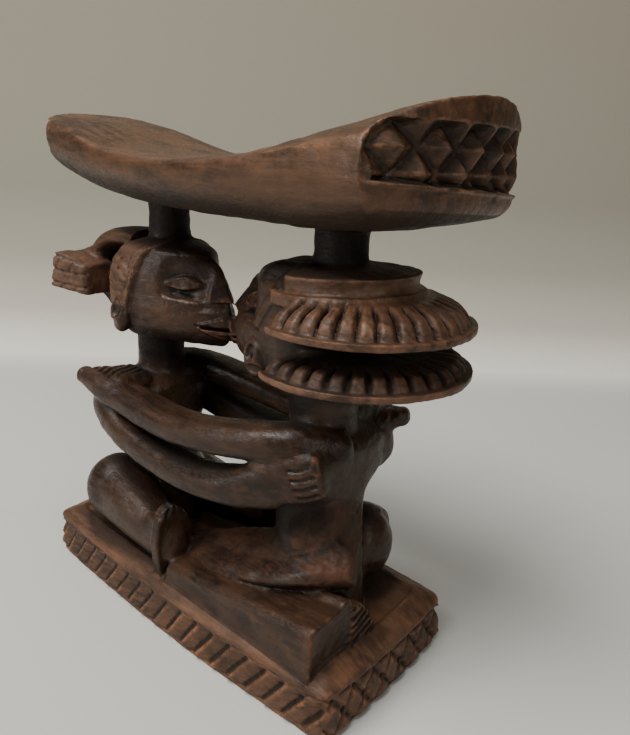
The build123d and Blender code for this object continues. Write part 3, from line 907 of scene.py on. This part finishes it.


def shelter(points, normals):
    """Painted shade amount, 0 to 1: how closely wood hangs over each point; undersides count as fully
    shaded.
    """
    probe = points + PROBE_OUT * normals + (0.0, 0.0, PROBE_UP)
    room = np.full(len(points), FAR)
    for other, (low, high) in BOXES.items():
        close = ((probe > low - PAINTED_SHADE_REACH) & (probe < high + PAINTED_SHADE_REACH)).all(1)
        if close.any():
            room[close] = np.minimum(room[close], FIELDS[other](probe[close]))
    return 1.0 - np.clip(room / OPEN_ROOM, 0, 1)


def carve(node):
    """Points in millimetres and quads of one piece, with its edge wear, crust and painted shade amount.
    """
    voxel = FINE_VOXEL if any(word in node for word in FINE) else VOXEL
    points, quads = mesh_points(node, voxel)
    points, quads = points.astype(np.float32), quads.astype(np.int32)
    normals = vertex_normals(points, quads)
    edge = in_chunks(lambda p: surface_shape(node, p, 1.6), points)
    lumps = 0.6 * noise(points, 2.6, 20) + 0.4 * noise(points, 1.1, 21)
    rough = crust(node, points, edge)
    placed_normals = np.hstack([points, normals])
    # painted shade: how closely wood hangs over each vertex or how far it faces down, later used to
    # darken its colour
    painted_shade = in_chunks(lambda row: shelter(row[:, :3], row[:, 3:]), placed_normals)
    relief = tool_marks(points) - rough * lumps
    surface = np.clip(points + normals * relief[:, None], LOWEST, HIGHEST)
    return surface, quads, edge, rough, painted_shade


def build_piece(node, points, quads, edge, rough, painted_shade):
    """The piece as an object whose mesh carries its edge wear, crust and painted shade for the material.
    """
    mesh = bpy.data.meshes.new("carved_" + node)
    mesh.vertices.add(len(points))
    mesh.vertices.foreach_set("co", (points * MM).astype(np.float32).ravel())
    mesh.loops.add(4 * len(quads))
    mesh.loops.foreach_set("vertex_index", quads.ravel())
    mesh.polygons.add(len(quads))
    mesh.polygons.foreach_set("loop_start", np.arange(0, 4 * len(quads), 4, dtype=np.int32))
    mesh.update(calc_edges=True)
    mesh.validate()
    mesh.shade_smooth()
    for name, values in (("edge", edge), ("crust", rough), ("painted_shade", painted_shade)):
        attribute = mesh.attributes.new(name, "FLOAT", "POINT")
        attribute.data.foreach_set("value", values.astype(np.float32))
    piece = bpy.data.objects.new("carved_" + node, mesh)
    bpy.context.scene.collection.objects.link(piece)
    return piece


# ---------------- materials ----------------
def wood_material(name, dark, mid, worn, gloss):
    """Patinated wood, rubbed to warm brown on edges and crusty in places, with painted shade that turns
    it nearly black under overhanging wood and on undersides.
    """
    material = bpy.data.materials.new(name)
    material.use_nodes = True
    tree = material.node_tree
    nodes, links = tree.nodes, tree.links
    shader = nodes["Principled BSDF"]
    shader.inputs["Specular IOR Level"].default_value = 0.26
    place = nodes.new("ShaderNodeTexCoord").outputs["Object"]

    def texture(scale, stretch, detail, rough=0.55):
        mapping = nodes.new("ShaderNodeMapping")
        mapping.inputs["Scale"].default_value = stretch
        links.new(place, mapping.inputs["Vector"])
        node = nodes.new("ShaderNodeTexNoise")
        node.inputs["Scale"].default_value = scale
        node.inputs["Detail"].default_value = detail
        node.inputs["Roughness"].default_value = rough
        links.new(mapping.outputs["Vector"], node.inputs["Vector"])
        return node.outputs["Fac"]

    def spread(value, low, high, to_low=0.0, to_high=1.0):
        node = nodes.new("ShaderNodeMapRange")
        node.interpolation_type = "SMOOTHSTEP"
        limits = {"From Min": low, "From Max": high, "To Min": to_low, "To Max": to_high}
        for socket, number in limits.items():
            node.inputs[socket].default_value = number
        links.new(value, node.inputs["Value"])
        return node.outputs["Result"]

    def combine(operation, a, b):
        node = nodes.new("ShaderNodeMath")
        node.operation = operation
        node.use_clamp = True
        links.new(a, node.inputs[0])
        links.new(b, node.inputs[1])
        return node.outputs["Value"]

    def blend(factor, a, b):
        node = nodes.new("ShaderNodeMix")
        node.data_type = "RGBA"
        links.new(factor, node.inputs["Factor"])
        for socket, colour in ((node.inputs[6], a), (node.inputs[7], b)):
            if isinstance(colour, tuple):
                socket.default_value = (*colour, 1.0)
            else:
                links.new(colour, socket)
        return node.outputs[2]

    def attribute(called):
        node = nodes.new("ShaderNodeAttribute")
        node.attribute_name = called
        return node.outputs["Fac"]

    edge, crusted, painted_shade = attribute("edge"), attribute("crust"), attribute("painted_shade")
    patches = texture(60, (1, 1, 1), 4)
    streaks = texture(420, (0.16, 1, 1), 5, 0.65)
    grit = texture(1500, (0.5, 1, 1), 3)
    stains = texture(95, (0.6, 1, 1), 5, 0.7)
    breaks = texture(170, (0.5, 1, 1), 5, 0.7)
    colour = blend(spread(patches, 0.38, 0.64), dark, mid)
    colour = blend(spread(streaks, 0.40, 0.72, 0.0, 0.75), colour, tuple(1.5 * c for c in mid))
    colour = blend(spread(stains, 0.56, 0.70, 0.0, 0.45), colour, tuple(0.7 * c for c in worn))
    rubbed = combine("MULTIPLY", spread(edge, 0.07, 0.30), spread(breaks, 0.44, 0.64))
    colour = blend(rubbed, colour, worn)
    earth = combine("MULTIPLY", spread(crusted, 0.1, 0.6, 0.0, 0.7), spread(stains, 0.38, 0.60))
    colour = blend(earth, colour, tuple(0.55 * c for c in worn))
    colour = blend(spread(edge, -0.10, -0.45), colour, tuple(0.35 * c for c in dark))
    # painted shade: the colour goes nearly black where other wood hangs over a point or the surface
    # faces down
    colour = blend(spread(painted_shade, 0.15, 0.95, 0.0, 0.85), colour, tuple(0.35 * c for c in dark))
    links.new(colour, shader.inputs["Base Color"])
    dull = spread(grit, 0.3, 0.75, gloss, gloss + 0.22)
    dull = combine("ADD", dull, spread(crusted, 0.1, 0.5, 0.0, 0.3))
    dull = combine("ADD", dull, spread(painted_shade, 0.3, 1.0, 0.0, 0.25))
    links.new(dull, shader.inputs["Roughness"])

    def bump(height, strength, distance, before=None):
        node = nodes.new("ShaderNodeBump")
        node.inputs["Strength"].default_value = strength
        node.inputs["Distance"].default_value = distance
        links.new(height, node.inputs["Height"])
        if before:
            links.new(before, node.inputs["Normal"])
        return node.outputs["Normal"]

    normal = bump(streaks, 0.45, 0.0004)
    normal = bump(grit, 0.5, 0.00025, normal)
    links.new(normal, shader.inputs["Normal"])
    return material


# Darkest, middle and rubbed tone of each slot, and how rough its smoothest spots are.
LOOKS = {
    "base_wood": ((0.040, 0.020, 0.011), (0.096, 0.046, 0.024), (0.20, 0.084, 0.040), 0.46),
    "pillow_wood": ((0.034, 0.017, 0.009), (0.078, 0.038, 0.019), (0.17, 0.080, 0.042), 0.31),
    "coiffure_wood": ((0.038, 0.019, 0.010), (0.094, 0.047, 0.027), (0.16, 0.076, 0.042), 0.34),
    "figure_wood": ((0.015, 0.008, 0.005), (0.036, 0.018, 0.010), (0.13, 0.053, 0.025), 0.28),
}
MATERIALS = {slot: wood_material(slot, *look) for slot, look in LOOKS.items()}


def slot_of(node):
    """The material slot that the record gives this node."""
    return next(row["material_slot"] for row in frame["record"]["subparts"] if row["node"] == node)


with ThreadPoolExecutor(4) as workers:
    carved = list(workers.map(carve, FIELDS))
for node, shape in zip(FIELDS, carved):
    piece = build_piece(node, *shape)
    piece.data.materials.append(MATERIALS[slot_of(node)])
    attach(piece, "root")
    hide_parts(node)


# ---------------- floor, backdrop, light, camera ----------------
BACKDROP_TURN = 40.0         # degrees, so that the wall faces the camera


def backdrop():
    """A pale floor that sweeps up into a wall close behind the object, as one curved sheet, with painted
    light in its colour: a bright band just above the floor and a wall that darkens with height.
    """
    near, bend_start, radius, top, half, steps = -1.2, 0.22, 0.30, 1.9, 2.6, 32
    profile = [(near, 0.0), (bend_start, 0.0)]
    for step in range(1, steps + 1):
        turn = radians(90.0 * step / steps)
        profile.append((bend_start + radius * sin(turn), radius * (1 - cos(turn))))
    profile.append((bend_start + radius, top))
    mesh = bpy.data.meshes.new("studio_sweep")
    points = [(side * half, y, z) for y, z in profile for side in (-1, 1)]
    faces = [(2 * i, 2 * i + 1, 2 * i + 3, 2 * i + 2) for i in range(len(profile) - 1)]
    mesh.from_pydata(points, [], faces)
    mesh.shade_smooth()
    sweep = bpy.data.objects.new("studio_sweep", mesh)
    sweep.matrix_world = Matrix.Rotation(radians(BACKDROP_TURN), 4, "Z")
    bpy.context.scene.collection.objects.link(sweep)
    material = bpy.data.materials.new("studio_paper_painted_light")
    material.use_nodes = True
    nodes, links = material.node_tree.nodes, material.node_tree.links
    height = nodes.new("ShaderNodeSeparateXYZ")
    links.new(nodes.new("ShaderNodeTexCoord").outputs["Object"], height.inputs["Vector"])
    # painted light: the colour by height stands in for how the lamps fall on the sheet, brightest just
    # above the floor and darker up the wall
    painted_falloff = nodes.new("ShaderNodeValToRGB")
    painted_falloff_tones = ((0.0, (0.53, 0.53, 0.50)), (0.004, (0.74, 0.72, 0.65)), (0.022, (0.46, 0.43, 0.37)),
             (0.06, (0.30, 0.285, 0.235)), (0.12, (0.235, 0.22, 0.175)), (0.30, (0.27, 0.245, 0.195)))
    ramp_stops = painted_falloff.color_ramp.elements
    while len(ramp_stops) < len(painted_falloff_tones):
        ramp_stops.new(0.5)
    for stop, (place, tone) in zip(ramp_stops, painted_falloff_tones):
        stop.position = place
        stop.color = (*tone, 1.0)
    links.new(height.outputs["Z"], painted_falloff.inputs["Fac"])
    shader = nodes["Principled BSDF"]
    links.new(painted_falloff.outputs["Color"], shader.inputs["Base Color"])
    shader.inputs["Roughness"].default_value = 0.9
    shader.inputs["Specular IOR Level"].default_value = 0.1
    mesh.materials.append(material)


def soft_light(name, place, target, size, power, colour=(1, 1, 1)):
    """A rectangular lamp at a place, aimed at a target, with its power in watts."""
    light = bpy.data.lights.new(name, "AREA")
    light.shape = "RECTANGLE"
    light.size, light.size_y = size
    light.energy = power
    light.color = colour
    lamp = bpy.data.objects.new(name, light)
    bpy.context.scene.collection.objects.link(lamp)
    away = Vector(place) - Vector(target)
    lamp.matrix_world = Matrix.Translation(place) @ away.to_track_quat("Z", "Y").to_matrix().to_4x4()


def camera():
    """A close, wide view from the right figure's back, near side."""
    place = (0.14984, -0.13542, 0.14902)
    yaw, pitch, roll = radians(130.32), radians(17.58), radians(2.26)
    ahead = np.array([cos(pitch) * cos(yaw), cos(pitch) * sin(yaw), -sin(pitch)])
    right = np.array([sin(yaw), -cos(yaw), 0.0])
    up = np.cross(right, ahead)
    right, up = cos(roll) * right + sin(roll) * up, cos(roll) * up - sin(roll) * right
    data = bpy.data.cameras.new("camera")
    data.sensor_width = 36.0
    data.lens = 31.445
    data.clip_start = 0.01
    viewer = bpy.data.objects.new("camera", data)
    axes = Matrix((right, up, -ahead)).transposed()
    viewer.matrix_world = Matrix.Translation(place) @ axes.to_4x4()
    bpy.context.scene.collection.objects.link(viewer)
    bpy.context.scene.camera = viewer


WARM, WARMER = (1.0, 0.98, 0.95), (1.0, 0.97, 0.93)
backdrop()
soft_light("key", (-0.15, -0.55, 1.05), (0, 0, 0.09), (0.75, 0.55), 17, WARM)
soft_light("front_strip", (-0.36, -0.88, 0.34), (0, 0, 0.06), (0.25, 0.5), 3.0, WARM)
soft_light("side", (0.85, -0.35, 0.55), (0, 0, 0.10), (0.35, 0.6), 2.6, WARMER)
soft_light("wall_glow", (0.1, 0.0, 1.3), (-0.25, 0.30, 0.0), (1.0, 0.4), 4)
camera()
world = bpy.data.worlds.new("studio_air")
world.use_nodes = True
air = world.node_tree.nodes["Background"]
air.inputs["Color"].default_value = (0.80, 0.80, 0.79, 1)
air.inputs["Strength"].default_value = 0.07
bpy.context.scene.world = world
